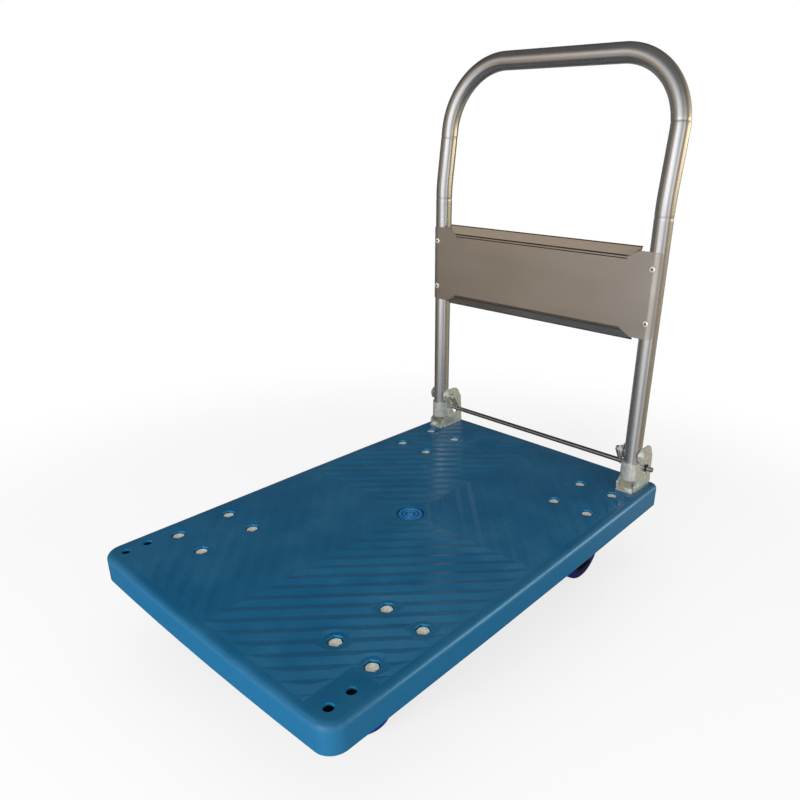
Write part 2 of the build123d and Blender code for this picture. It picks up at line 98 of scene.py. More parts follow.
def screen_colour(red, green, blue):
    """A colour as it reads on a screen, from 0 to 255, in the linear values that shaders take."""
    return (*[((c / 255 + 0.055) / 1.055) ** 2.4 for c in (red, green, blue)], 1.0)


def add_node(tree, kind, settings=None, inputs=None):
    """Adds a node. An input, by name or number, takes a plain value or a link from a socket."""
    made = tree.nodes.new(kind)
    for key, value in (settings or {}).items():
        setattr(made, key, value)
    for key, value in (inputs or {}).items():
        if isinstance(value, bpy.types.NodeSocket):
            tree.links.new(value, made.inputs[key])
        else:
            made.inputs[key].default_value = value
    return made


def add_sockets(tree, in_out, kind, names):
    """Adds named sockets of one kind to a node group, on its input or output side."""
    for name in names:
        tree.interface.new_socket(name, in_out=in_out, socket_type=f"NodeSocket{kind}")


def fade(tree, value, start, end, first=0.0, last=1.0):
    """A smooth passage from first to last while value goes from start to end."""
    stops = {"Value": value, "From Min": start, "From Max": end, "To Min": first, "To Max": last}
    passage = add_node(tree, "ShaderNodeMapRange", {"interpolation_type": "SMOOTHSTEP"}, stops)
    return passage.outputs["Result"]


def grain_group():
    """Shader group: soft patches and a fine grain, each from 0 to 1, with sizes in metres."""
    noise_range = (0.3, 0.7)
    group = bpy.data.node_groups.new("surface_grain", "ShaderNodeTree")
    add_sockets(group, "INPUT", "Vector", ["Vector"])
    add_sockets(group, "INPUT", "Float", ["Patch Size", "Grain Size"])
    add_sockets(group, "OUTPUT", "Float", ["Patches", "Grain"])
    entry = group.nodes.new("NodeGroupInput")
    leave = group.nodes.new("NodeGroupOutput")
    for size, made, detail in (("Patch Size", "Patches", 3.0), ("Grain Size", "Grain", 1.0)):
        divide = {"operation": "DIVIDE"}
        scale = add_node(group, "ShaderNodeMath", divide, {0: 1.0, 1: entry.outputs[size]})
        noise = add_node(group, "ShaderNodeTexNoise", inputs={
            "Vector": entry.outputs["Vector"], "Scale": scale.outputs[0], "Detail": detail})
        group.links.new(fade(group, noise.outputs["Fac"], *noise_range), leave.inputs[made])
    return group


surface_grain = grain_group()


def make_finish(name, colour, worn, rough, sizes, relief, metal=0.0, stretch=(1, 1, 1), space="Object"):
    """A finish whose colour drifts to worn in soft patches, with roughness and relief from a grain.
    rough is (least, most); sizes is (patch, grain) and relief the grain's depth, in metres."""
    material = bpy.data.materials.new(name)
    material.use_nodes = True
    tree = material.node_tree
    shader = tree.nodes["Principled BSDF"]
    shader.inputs["Metallic"].default_value = metal
    spot = add_node(tree, "ShaderNodeTexCoord").outputs[space]
    drawn = add_node(tree, "ShaderNodeMapping", inputs={"Vector": spot, "Scale": stretch})
    grain = add_node(tree, "ShaderNodeGroup", {"node_tree": surface_grain}, {
        "Vector": drawn.outputs["Vector"], "Patch Size": sizes[0], "Grain Size": sizes[1]})
    tint = add_node(tree, "ShaderNodeMix", {"data_type": "RGBA"}, {
        0: grain.outputs["Patches"], 6: screen_colour(*colour), 7: screen_colour(*worn)})
    matt = add_node(tree, "ShaderNodeMapRange", inputs={
        "Value": grain.outputs["Patches"], "To Min": rough[0], "To Max": rough[1]})
    bump = add_node(tree, "ShaderNodeBump", inputs={
        "Height": grain.outputs["Grain"], "Distance": relief, "Strength": 1.0})
    tree.links.new(tint.outputs[2], shader.inputs["Base Color"])
    tree.links.new(matt.outputs["Result"], shader.inputs["Roughness"])
    tree.links.new(bump.outputs["Normal"], shader.inputs["Normal"])
    return material


def tint_over(material, share, colour):
    """Lays a colour over a finish, by a share from 0 to 1 that another node gives."""
    tree = material.node_tree
    paint = tree.nodes["Principled BSDF"].inputs["Base Color"]
    tint = add_node(tree, "ShaderNodeMix", {"data_type": "RGBA"}, {
        0: share, 6: paint.links[0].from_socket, 7: screen_colour(*colour)})
    tree.links.new(tint.outputs[2], paint)


def tint_by_slope(material, colour, steep, level):
    """Paints the sides of a piece another colour than its level faces, as painted light or shade."""
    tree = material.node_tree
    normal = add_node(tree, "ShaderNodeTexCoord").outputs["Normal"]
    upward = add_node(tree, "ShaderNodeSeparateXYZ", inputs={0: normal}).outputs["Z"]
    tint_over(material, fade(tree, upward, steep, level, 1.0, 0.0), colour)


def make_object(shape, name, *finishes):
    """Turns a bmesh into an object of the scene, with these finishes."""
    mesh = bpy.data.meshes.new(name)
    shape.to_mesh(mesh)
    shape.free()
    for finish in finishes:
        mesh.materials.append(finish)
    made = bpy.data.objects.new(name, mesh)
    bpy.context.scene.collection.objects.link(made)
    return made


def make_piece(shape, name, finish, body, nodes=(), more=()):
    """A piece that rides on a body and stands for the CAD nodes given, with more finishes for some
    of its faces."""
    piece = make_object(shape, name, finish, *more)
    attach(piece, body)
    if nodes:
        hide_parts(*nodes)
    return piece


def shade(piece, crease):
    """Smooth shading that keeps every edge sharper than crease, in degrees."""
    piece.data.polygons.foreach_set("use_smooth", [True] * len(piece.data.polygons))
    piece.data.set_sharp_from_angle(angle=radians(crease))


def round_edges(piece, edge):
    """Softens the sharp edges by a narrow bevel and keeps the flat faces even."""
    piece.data.polygons.foreach_set("use_smooth", [True] * len(piece.data.polygons))
    bevel = piece.modifiers.new("edges", "BEVEL")
    bevel.width = edge
    bevel.segments = 2
    bevel.limit_method = "ANGLE"
    bevel.angle_limit = radians(edge_crease)
    even = piece.modifiers.new("even", "WEIGHTED_NORMAL")
    even.keep_sharp = True


def weld(*nodes):
    """The triangles of CAD nodes as one welded shape."""
    shape = bmesh.new()
    for node in nodes:
        shape.from_mesh(frame["nodes"][node].data)
    bmesh.ops.remove_doubles(shape, verts=shape.verts, dist=weld_gap)
    return shape


def whole_faces(shape):
    """The shape with the triangles of its flat faces joined again."""
    bmesh.ops.dissolve_limit(shape, angle_limit=flat_angle, verts=shape.verts, edges=shape.edges)
    return shape


def dress(name, finish, slot, *nodes, edge=soft_edge):
    """One piece welded from CAD nodes of the same body, with softened edges and a finish."""
    body = frame["nodes"][nodes[0]]["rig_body"]
    piece = make_piece(whole_faces(weld(*nodes)), name, finish, body, nodes)
    round_edges(piece, edge)
    return piece


def plain_deck():
    """The deck's shape with its raised tread field let down to the smooth border's level."""
    shape = whole_faces(weld("deck_shell"))
    for vert in shape.verts:
        if vert.co.z > deck_top + field_rise / 2:
            vert.co.z = deck_top
    bmesh.ops.remove_doubles(shape, verts=shape.verts, dist=merge_gap)
    bmesh.ops.dissolve_degenerate(shape, dist=merge_gap, edges=shape.edges)
    return whole_faces(shape)


def solid_middles(node):
    """The middle of each separate solid in a CAD node."""
    shape = weld(node)
    seen = set()
    middles = []
    for start in shape.verts:
        if start in seen:
            continue
        island = [start]
        seen.add(start)
        for vert in island:
            for edge in vert.link_edges:
                other = edge.other_vert(vert)
                if other not in seen:
                    seen.add(other)
                    island.append(other)
        spots = [vert.co for vert in island]
        low = Vector(map(min, *spots))
        high = Vector(map(max, *spots))
        middles.append((low + high) / 2)
    shape.free()
    return middles


deck_plastic = make_finish("deck_plastic", deck_blue, deck_blue_worn, rough=(0.2, 0.28),
                           sizes=(60 * mm, 2.5 * mm), relief=0.035 * mm)
# Painted light: the deck's sides are painted a lighter blue than its top, as if the lamps lit them more.
tint_by_slope(deck_plastic, painted_light_side_blue, *side_slopes)
# Painted reflection: where steel mirrors the deck, the deck is painted a dark grey in place of its blue.
rays = add_node(deck_plastic.node_tree, "ShaderNodeLightPath").outputs
mirrored = add_node(deck_plastic.node_tree, "ShaderNodeMath", {"operation": "MULTIPLY"}, {
    0: rays["Is Glossy Ray"], 1: painted_reflection_share})
tint_over(deck_plastic, mirrored.outputs[0], painted_reflection_grey)

# Painted light and shade: pocket walls are painted lighter than the deck, and darker towards their floors.
pocket_painted_light_and_shade = make_finish("pocket_painted_light_and_shade", (14, 104, 152), (22, 116, 166), rough=(0.25, 0.35),
                          sizes=(10 * mm, 2 * mm), relief=0.015 * mm)
tree = pocket_painted_light_and_shade.node_tree
spot = add_node(tree, "ShaderNodeTexCoord").outputs["Object"]
height = add_node(tree, "ShaderNodeSeparateXYZ", inputs={0: spot}).outputs["Z"]
pocket_painted_shade_share = fade(tree, height, deck_top - pocket_shade[1], deck_top - pocket_shade[0], 1.0, 0.0)
tint_over(pocket_painted_light_and_shade, pocket_painted_shade_share, pocket_painted_shade_colour)
# Painted shade: the floors of the pockets and tie holes are painted near black.
pocket_floor_shade = make_finish("pocket_floor_shade", (9, 14, 19), (22, 26, 30), rough=(0.6, 0.8),
                          sizes=(4 * mm, 1 * mm), relief=0.05 * mm)

moulded_deck = make_piece(plain_deck(), "moulded_deck", deck_plastic, "deck", ["deck_shell"],
                          more=[pocket_painted_light_and_shade, pocket_floor_shade])
ties = next(mount for mount in frame["record"]["mounts"] if mount["name"] == "tie_holes")
tie_middle = Vector(ties["pos_m"])
tie_half = Vector((ties["dims"]["spacing_x_mm"], ties["dims"]["spacing_y_mm"], 0)) * mm / 2
pockets = [(middle, pocket_reach) for middle in solid_middles("caster_bolts")]
for x in (-1, 1):
    for y in (-1, 1):
        pockets.append((tie_middle + Vector((x * tie_half.x, y * tie_half.y, 0)), tie_reach))
for face in moulded_deck.data.polygons:
    near = any((face.center.xy - middle.xy).length < reach for middle, reach in pockets)
    if near and face.center.z < deck_top - pocket_lip:
        face.material_index = 2 if face.normal.z > pocket_floor_slope else 1
round_edges(moulded_deck, deck_edge)

# Tread: low ridges moulded on the deck in nested diamonds round its middle, each steeper on one
# side than on the other. They ramp down at the smooth border and leave a flat pad round each
# pocket, tie hole and plug.
ridge_pitch = 21 * mm
ridge_start = 7.5 * mm
ridge_foot = 20.9 * mm
ridge_crest = 0.8 * mm
ridge_lean = 2.05 * mm
ridge_rise = 1.25 * mm
ridge_sink = 0.1 * mm
ridge_turn = radians(45)
ridge_ramp = 14 * mm
ridge_crease = 5
cutter_height = 1.02
tread_border = 13 * mm
pocket_pad = 15 * mm
plug_pad = 24 * mm
pad_sides = 32
pad_flare = (0.95, 1.5)
corner_pad = (186 * mm, 280 * mm)
corner_reach = 100 * mm


def new_geometry_tree(name, sizes):
    """An empty geometry tree with named size inputs, a material input and its two ends."""
    tree = bpy.data.node_groups.new(name, "GeometryNodeTree")
    add_sockets(tree, "INPUT", "Geometry", ["Geometry"])
    add_sockets(tree, "INPUT", "Float", sizes)
    add_sockets(tree, "INPUT", "Material", ["Material"])
    add_sockets(tree, "OUTPUT", "Geometry", ["Geometry"])
    return tree, tree.nodes.new("NodeGroupInput").outputs, tree.nodes.new("NodeGroupOutput")


def close_tree(tree, geometry, finish, leave):
    """Ends a geometry tree with plain geometry in its finish."""
    real = add_node(tree, "GeometryNodeRealizeInstances", inputs={"Geometry": geometry})
    paint = add_node(tree, "GeometryNodeSetMaterial", inputs={
        "Geometry": real.outputs["Geometry"], "Material": finish})
    tree.links.new(paint.outputs["Geometry"], leave.inputs["Geometry"])


def maths_in(tree):
    """A short call for the Math nodes of a tree."""
    def maths(operation, first, second):
        """The result of one operation on two plain values or sockets."""
        return add_node(tree, "ShaderNodeMath", {"operation": operation}, {0: first, 1: second}).outputs[0]
    return maths


def common_part(tree, first, second):
    """The part of space that two meshes share."""
    both = add_node(tree, "GeometryNodeMeshBoolean", {"operation": "INTERSECT", "solver": "MANIFOLD"})
    tree.links.new(first, both.inputs["Mesh 2"])
    tree.links.new(second, both.inputs["Mesh 2"])
    return both.outputs["Mesh"]


def cut_away(tree, mesh, cutter):
    """A mesh with the cutter taken out of it."""
    rest = add_node(tree, "GeometryNodeMeshBoolean", {"operation": "DIFFERENCE", "solver": "MANIFOLD"}, {
        "Mesh 1": mesh, "Mesh 2": cutter})
    return rest.outputs["Mesh"]


def finished_shape(holder):
    """The shape that an object's modifiers give."""
    bpy.context.view_layer.update()
    ready = holder.evaluated_get(bpy.context.evaluated_depsgraph_get())
    shape = bmesh.new()
    shape.from_mesh(bpy.data.meshes.new_from_object(ready))
    return shape


def bake_tree(host, tree, values):
    """Runs a geometry tree on a bmesh with these inputs and gives back the made shape."""
    holder = make_object(host, tree.name)
    modifier = holder.modifiers.new("tree", "NODES")
    modifier.node_group = tree
    for item in tree.interface.items_tree:
        if item.in_out == "INPUT" and item.name in values:
            modifier[item.identifier] = values[item.name]
    shape = finished_shape(holder)
    holder.modifiers.remove(modifier)
    bpy.data.objects.remove(holder)
    return shape


def tread_tree():
    """Ridges across one quarter of the deck, cut to its border and pads, then mirrored twice."""
    sizes = ["Pitch", "Start", "Foot", "Crest", "Lean", "Height", "Turn", "Half Width", "Half Length",
             "Corner X", "Corner Y", "Ramp"]
    tree, entry, leave = new_geometry_tree("tread_ridges", sizes)
    maths = maths_in(tree)

    def vector(x=0.0, y=0.0, z=0.0):
        """A vector from plain values or sockets."""
        return add_node(tree, "ShaderNodeCombineXYZ", inputs={0: x, 1: y, 2: z}).outputs[0]

    profile = add_node(tree, "GeometryNodeCurvePrimitiveQuadrilateral", {"mode": "TRAPEZOID"}, {
        "Height": entry["Height"], "Bottom Width": entry["Crest"], "Top Width": entry["Foot"],
        "Offset": entry["Lean"]})
    reach = maths("ADD", entry["Half Width"], entry["Half Length"])
    line = add_node(tree, "GeometryNodeCurvePrimitiveLine", inputs={
        "Start": vector(maths("MULTIPLY", reach, -1.0)), "End": vector(reach)})
    ridge = add_node(tree, "GeometryNodeCurveToMesh", inputs={
        "Curve": line.outputs["Curve"], "Profile Curve": profile.outputs["Curve"], "Fill Caps": True})

    first = maths("SUBTRACT", maths("DIVIDE", entry["Pitch"], -2.0), entry["Start"])
    count = maths("CEIL", maths("DIVIDE", reach, entry["Pitch"]), 0.0)
    spots = add_node(tree, "GeometryNodeMeshLine", inputs={
        "Count": count, "Start Location": vector(0.0, first),
        "Offset": vector(0.0, maths("MULTIPLY", entry["Pitch"], -1.0))})
    rows = add_node(tree, "GeometryNodeInstanceOnPoints", inputs={
        "Points": spots.outputs["Mesh"], "Instance": ridge.outputs["Mesh"]})
    rows = add_node(tree, "GeometryNodeTransform", inputs={
        "Geometry": rows.outputs["Instances"], "Rotation": vector(0.0, 0.0, entry["Turn"])})
    rows = add_node(tree, "GeometryNodeRealizeInstances", inputs={"Geometry": rows.outputs["Geometry"]})

    tall = maths("MULTIPLY", entry["Height"], cutter_height)

    def ramped_box(size, middle, side):
        """A box as tall as the ridges, with its faces to side in X and away from side in Y slanted."""
        box = add_node(tree, "GeometryNodeMeshCube", inputs={"Size": vector(*size, tall)})
        spot = add_node(tree, "GeometryNodeInputPosition").outputs["Position"]
        spot = add_node(tree, "ShaderNodeSeparateXYZ", inputs={0: spot}).outputs
        ramp = maths("MULTIPLY", maths("GREATER_THAN", spot["Z"], 0.0), entry["Ramp"])
        to_side = maths("GREATER_THAN", maths("MULTIPLY", spot["X"], side), 0.0)
        from_side = maths("LESS_THAN", maths("MULTIPLY", spot["Y"], side), 0.0)
        slant_x = maths("MULTIPLY", to_side, maths("MULTIPLY", ramp, -1.0))
        slant_y = maths("MULTIPLY", from_side, ramp)
        box = add_node(tree, "GeometryNodeSetPosition", inputs={
            "Geometry": box.outputs["Mesh"], "Offset": vector(slant_x, slant_y)})
        box = add_node(tree, "GeometryNodeTransform", inputs={
            "Geometry": box.outputs["Geometry"], "Translation": vector(*middle)})
        return box.outputs["Geometry"]

    quarter_middle = (maths("DIVIDE", entry["Half Width"], 2.0), maths("DIVIDE", entry["Half Length"], -2.0))
    quarter = ramped_box((entry["Half Width"], entry["Half Length"]), quarter_middle, 1.0)
    ridges = common_part(tree, rows.outputs["Geometry"], quarter)

    pad = add_node(tree, "GeometryNodeMeshCone", inputs={
        "Vertices": pad_sides, "Radius Top": pad_flare[1], "Radius Bottom": pad_flare[0], "Depth": tall})
    pad = add_node(tree, "GeometryNodeTransform", inputs={
        "Geometry": pad.outputs["Mesh"], "Translation": vector(0.0, 0.0, maths("DIVIDE", tall, -2.0))})
    clear = add_node(tree, "GeometryNodeInputNamedAttribute", {"data_type": "FLOAT"}, {"Name": "clear"})
    clear = clear.outputs["Attribute"]
    pads = add_node(tree, "GeometryNodeInstanceOnPoints", inputs={
        "Points": entry["Geometry"], "Instance": pad.outputs["Geometry"],
        "Scale": vector(clear, clear, 1.0)})
    pads = add_node(tree, "GeometryNodeRealizeInstances", inputs={"Geometry": pads.outputs["Instances"]})
    ridges = cut_away(tree, ridges, pads.outputs["Geometry"])

    corner_middle = (maths("ADD", entry["Corner X"], corner_reach / 2),
                     maths("SUBTRACT", -corner_reach / 2, entry["Corner Y"]))
    ridges = cut_away(tree, ridges, ramped_box((corner_reach, corner_reach), corner_middle, -1.0))

    for mirroring in ((-1, 1, 1), (1, -1, 1)):
        other = add_node(tree, "GeometryNodeTransform", inputs={"Geometry": ridges, "Scale": mirroring})
        other = add_node(tree, "GeometryNodeFlipFaces", inputs={"Mesh": other.outputs["Geometry"]})
        both = add_node(tree, "GeometryNodeJoinGeometry")
        tree.links.new(ridges, both.inputs["Geometry"])
        tree.links.new(other.outputs["Mesh"], both.inputs["Geometry"])
        ridges = both.outputs["Geometry"]
    close_tree(tree, ridges, entry["Material"], leave)
    return tree


def tread_pads():
    """Points on the quarter that the tread is made on, each with the radius it keeps clear."""
    points = bmesh.new()
    clear = points.verts.layers.float.new("clear")
    for middle in solid_middles("caster_bolts"):
        if middle.x > 0 and middle.y < 0:
            points.verts.new((middle.x, middle.y, 0))[clear] = pocket_pad
    points.verts.new((0, 0, 0))[clear] = plug_pad
    return points


tread = bake_tree(tread_pads(), tread_tree(), {
    "Pitch": ridge_pitch, "Start": ridge_start, "Foot": ridge_foot, "Crest": ridge_crest, "Lean": ridge_lean,
    "Height": ridge_rise + ridge_sink, "Turn": ridge_turn, "Half Width": deck_high.x - tread_border,
    "Half Length": deck_high.y - tread_border, "Corner X": corner_pad[0], "Corner Y": corner_pad[1],
    "Ramp": ridge_ramp, "Material": deck_plastic})
bmesh.ops.translate(tread, verts=tread.verts, vec=(0, 0, deck_top + (ridge_rise - ridge_sink) / 2))
tread = make_piece(tread, "deck_tread", deck_plastic, "deck")
shade(tread, ridge_crease)

# Plug: a push-in disc of lighter blue plastic in the middle of the deck. Two ring grooves lie
# round its domed boss, and a gap is left round its rim. Rings are (radius, level), in mm.
plug_stem = 5.9
plug_rings = ((0, 0.5), (3, 0.3), (5, -0.4), (5.8, -2.4), (7.6, -2.4), (8.4, -0.5), (11, -0.5), (11.8, -2.4),
              (13.4, -2.4), (14.2, -0.3), (17.6, -0.3), (18.6, -1.2), (18.6, -3.4), (plug_stem, -3.4))
plug_sides = 48
plug_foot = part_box("centre_plug")[0].z - deck_top
turned_crease = 40


def lathe(shape, rings, middle, axis, sides):
    """Turns rings of (radius, level), in metres, round an axis through middle, from its tip down."""
    out = axis.orthogonal().normalized()
    side = axis.cross(out)
    before = None
    for radius, level in rings:
        count = sides if radius else 1
        ring = []
        for k in range(count):
            turn = 2 * pi * k / count
            spot = middle + axis * level + (out * cos(turn) + side * sin(turn)) * radius
            ring.append(shape.verts.new(spot))
        for k in range(sides if before else 0):
            m = k + 1
            spots = (before[k % len(before)], ring[k % count], ring[m % count], before[m % len(before)])
            shape.faces.new(list(dict.fromkeys(spots)))
        before = ring


plug_plastic = make_finish("plug_plastic", (20, 96, 150), (34, 110, 162), rough=(0.2, 0.3),
                           sizes=(12 * mm, 0.6 * mm), relief=0.01 * mm)
plug = bmesh.new()
plug_outline = [(r * mm, z * mm) for r, z in plug_rings] + [(plug_stem * mm, plug_foot), (0, plug_foot)]
lathe(plug, plug_outline, Vector((0, 0, deck_top)), Vector((0, 0, 1)), plug_sides)
plug = make_piece(plug, "push_in_plug", plug_plastic, "deck", ["centre_plug"])
shade(plug, turned_crease)

# Caster fasteners: zinc plated M10 hex bolts sunk in the deck's pockets, and their nuts and
# washers under the caster plates. One geometry tree makes every head, collar and shank, with the
# crown and the collar as shares of the head's flats and height.
m10_flats = 16.2 * mm
m10_head = 6.4 * mm
m10_shank = 5 * mm
m10_nut = 8 * mm
nut_stub = 0.5 * mm
fastener_edge = 0.25 * mm
painted_flank_shade = (22, 22, 24)
flank_slopes = (0.9, 0.99)
crown_shares = (0.43, 1.4)
crown_slope = 0.58
collar_share = 0.08
collar_reach = 0.48
collar_overlap = 1.2
head_sides = 48
shank_sides = 32
spin_seed = 7


def fastener_tree():
    """A hex head with a turned crown, a collar under it and a shank below, on every host point."""
    tree, entry, leave = new_geometry_tree("hex_fasteners", ["Flats", "Height", "Shank", "Reach", "Spin"])
    maths = maths_in(tree)

    def lift(mesh, level, turn=0.0):
        """A mesh moved up to a level and turned round its axis."""
        place = add_node(tree, "ShaderNodeCombineXYZ", inputs={2: level}).outputs[0]
        return add_node(tree, "GeometryNodeTransform", inputs={
            "Geometry": mesh, "Translation": place, "Rotation": (0.0, 0.0, turn)}).outputs["Geometry"]

    collar = maths("MULTIPLY", entry["Height"], collar_share)
    corner = maths("DIVIDE", entry["Flats"], sqrt(3))
    half = maths("DIVIDE", entry["Height"], 2.0)
    prism = add_node(tree, "GeometryNodeMeshCylinder", inputs={
        "Vertices": 6, "Radius": corner, "Depth": maths("SUBTRACT", entry["Height"], collar)})
    prism = lift(prism.outputs["Mesh"], maths("ADD", half, maths("DIVIDE", collar, 2.0)), pi / 6)
    crown_top, crown_low = [maths("MULTIPLY", entry["Flats"], share) for share in crown_shares]
    crown_drop = maths("MULTIPLY", maths("SUBTRACT", crown_low, crown_top), crown_slope)
    crown = add_node(tree, "GeometryNodeMeshCone", inputs={
        "Vertices": head_sides, "Radius Top": crown_top, "Radius Bottom": crown_low, "Depth": crown_drop})
    crown = lift(crown.outputs["Mesh"], maths("SUBTRACT", entry["Height"], crown_drop))
    head = common_part(tree, prism, crown)
    thick = maths("MULTIPLY", collar, collar_overlap)
    seat = add_node(tree, "GeometryNodeMeshCylinder", inputs={
        "Vertices": head_sides, "Radius": maths("MULTIPLY", entry["Flats"], collar_reach), "Depth": thick})
    seat = lift(seat.outputs["Mesh"], maths("DIVIDE", thick, 2.0))
    shank = add_node(tree, "GeometryNodeMeshCylinder", inputs={
        "Vertices": shank_sides, "Radius": entry["Shank"], "Depth": entry["Reach"]})
    shank = lift(shank.outputs["Mesh"], maths("DIVIDE", entry["Reach"], -2.0))
    bolt = add_node(tree, "GeometryNodeJoinGeometry")
    for part in (head, seat, shank):
        tree.links.new(part, bolt.inputs["Geometry"])
    spin = add_node(tree, "FunctionNodeRandomValue", {"data_type": "FLOAT"}, {"Seed": spin_seed})
    spin = maths("MULTIPLY", spin.outputs[1], entry["Spin"])
    turn = add_node(tree, "ShaderNodeCombineXYZ", inputs={2: spin}).outputs[0]
    spread = add_node(tree, "GeometryNodeInstanceOnPoints", inputs={
        "Points": entry["Geometry"], "Instance": bolt.outputs["Geometry"], "Rotation": turn})
    close_tree(tree, spread.outputs["Instances"], entry["Material"], leave)
    return tree


hex_fasteners = fastener_tree()


def fasten(name, node, flats, height, shank, reach, seat, finish, spin=0.0):
    """Hex pieces in place of a CAD node's, each standing on the level seat."""
    points = bmesh.new()
    for middle in solid_middles(node):
        points.verts.new((middle.x, middle.y, seat))
    shape = bake_tree(points, hex_fasteners, {
        "Flats": flats, "Height": height, "Shank": shank, "Reach": reach, "Spin": spin, "Material": finish})
    piece = make_piece(shape, name, finish, frame["nodes"][node]["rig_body"], [node])
    round_edges(piece, fastener_edge)


zinc_steel = make_finish("zinc_steel", (232, 237, 233), (210, 210, 199), rough=(0.15, 0.25),
                         sizes=(7 * mm, 0.8 * mm), relief=0.001 * mm, metal=0.7)
dull_zinc = make_finish("dull_zinc", (226, 222, 208), (196, 190, 172), rough=(0.45, 0.6),
                        sizes=(3 * mm, 0.8 * mm), relief=0.03 * mm, metal=0.15)
# Painted shade: the steep flanks of the deck bolts' heads are painted near black.
tint_by_slope(dull_zinc, painted_flank_shade, *flank_slopes)
bolt_low, bolt_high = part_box("caster_bolts")
bolt_seat = bolt_high.z - m10_head
fasten("deck_bolts", "caster_bolts", m10_flats, m10_head, m10_shank, bolt_seat - bolt_low.z, bolt_seat,
       dull_zinc)
dress("plate_washers", zinc_steel, "zinc_steel", "caster_washers")
fasten("plate_nuts", "caster_nuts", m10_flats, m10_nut, m10_shank, nut_stub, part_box("caster_nuts")[0].z,
       zinc_steel, spin=pi / 3)

# Hinge brackets: pressed channels of yellowish zinc plated sheet that hold the legs between two
# cheeks and a round web. Each is bolted to a corner of the deck by two M8 bolts with nuts.
m8_flats = 13 * mm
m8_head = 5.3 * mm
m8_shank = 4 * mm
m8_nut = 6.5 * mm
for side in ("left", "right"):
    dress(f"hinge_bracket_{side}", zinc_steel, "zinc_steel", f"bracket_{side}")
bright_zinc = make_finish("bright_zinc", (236, 236, 232), (214, 213, 206), rough=(0.22, 0.32),
                          sizes=(3 * mm, 0.5 * mm), relief=0.004 * mm, metal=0.5)
bolt_low, bolt_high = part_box("bracket_bolts")
bolt_seat = bolt_high.z - m8_head
fasten("foot_bolts", "bracket_bolts", m8_flats, m8_head, m8_shank, bolt_seat - bolt_low.z, bolt_seat,
       bright_zinc, spin=pi / 3)
dress("foot_washers", zinc_steel, "zinc_steel", "bracket_washers")
fasten("foot_nuts", "bracket_nuts", m8_flats, m8_nut, m8_shank, nut_stub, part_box("bracket_nuts")[0].z,
       zinc_steel, spin=pi / 3)

# Pivots: an M8 bolt and nut through each bracket, on which the leg turns with a steel sleeve.
# The bolt's plain inner end carries the spring's loop.
bright_steel = make_finish("bright_steel", (200, 200, 202), (176, 176, 178), rough=(0.14, 0.24),
                           sizes=(8 * mm, 0.4 * mm), relief=0.01 * mm, metal=1.0)
for side in ("left", "right"):
    dress(f"hinge_bolt_{side}", zinc_steel, "zinc_steel", f"pivot_bolt_{side}")
    dress(f"hinge_sleeve_{side}", bright_steel, "bright_steel", f"pivot_sleeve_{side}")
dress("hinge_nuts", zinc_steel, "zinc_steel", "pivot_nuts")

# Handle tube: one bent steel tube with a satin silver coat and fine lines drawn along it. The
# bending tool has left a faint pinch at or near the lower end of each bend. The tube's rings stand
# coarse_steps apart along its path, and one step apart within fine_steps of a pinch.
tube_radius = 14 * mm
tube_sides = 48
tube_drawn = 0.9
lean_start = 594 * mm
lean_bend = 250 * mm
top_bend = 104 * mm
pinch_shift = 13 * mm
pinch_depth = 0.45 * mm
pinch_width = 1.8 * mm
path_step = 1 * mm
coarse_steps = 5
fine_steps = 7
tube_low, tube_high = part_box("handle_tube")
leg_x = tube_high.x - tube_radius
leg_y = tube_low.y + tube_radius
lean_y = tube_high.y - tube_radius
axis_top = tube_high.z - tube_radius


def straight(start, end, step):
    """Even points from start, which is left out, to end."""
    count = max(1, round((end - start).length / step))
    return [start.lerp(end, (n + 1) / count) for n in range(count)]


def bent_path(corners, radii, step):
    """Points along a line of straight stretches whose corners are rounded, and the places, along
    the line, where its bends start and end."""
    points = [corners[0]]
    marks = []
    for before, corner, after, radius in zip(corners, corners[1:], corners[2:], radii):
        back = (before - corner).normalized()
        ahead = (after - corner).normalized()
        turn = pi - back.angle(ahead)
        reach = radius * tan(turn / 2)
        middle = corner + (back + ahead).normalized() * radius / cos(turn / 2)
        start = corner + back * reach
        end = corner + ahead * reach
        side = (start - middle) / radius
        count = max(6, round(radius * turn / step))
        points += straight(points[-1], start, step)
        marks.append(len(points) - 1)
        points += [middle + (side * cos(turn * n / count) - back * sin(turn * n / count)) * radius
                   for n in range(1, count)]
        points.append(end)
        marks.append(len(points) - 1)
    return points + straight(points[-1], corners[-1], step), marks


def swept(points, reach, sides):
    """A round bar along points, closed at both ends, with a UV map in metres along and round it.
    reach(place) is its radius, with place in metres from its start."""
    shape = bmesh.new()
    chart = shape.loops.layers.uv.new("UVMap")
    ahead = [(b - a).normalized() for a, b in zip(points, points[1:])]
    ahead = [ahead[0]] + [(a + b).normalized() for a, b in zip(ahead, ahead[1:])] + [ahead[-1]]
    out = ahead[0].orthogonal().normalized()
    place = 0.0
    rings = []
    for n, (point, along) in enumerate(zip(points, ahead)):
        if n:
            place += (point - points[n - 1]).length
            out = (out - along * out.dot(along)).normalized()
        side = along.cross(out)
        ring = []
        for k in range(sides):
            turn = 2 * pi * k / sides
            spot = point + (out * cos(turn) + side * sin(turn)) * reach(place)
            ring.append(shape.verts.new(spot))
        rings.append((place, ring))
    for (low, first), (high, second) in zip(rings, rings[1:]):
        face_width = 2 * pi * reach(low) / sides
        for k in range(sides):
            m = (k + 1) % sides
            face = shape.faces.new((first[k], first[m], second[m], second[k]))
            spots = ((low, k), (low, k + 1), (high, k + 1), (high, k))
            for loop, (u, v) in zip(face.loops, spots):
                loop[chart].uv = (u, v * face_width)
    shape.faces.new(list(reversed(rings[0][1])))
    shape.faces.new(rings[-1][1])
    return shape


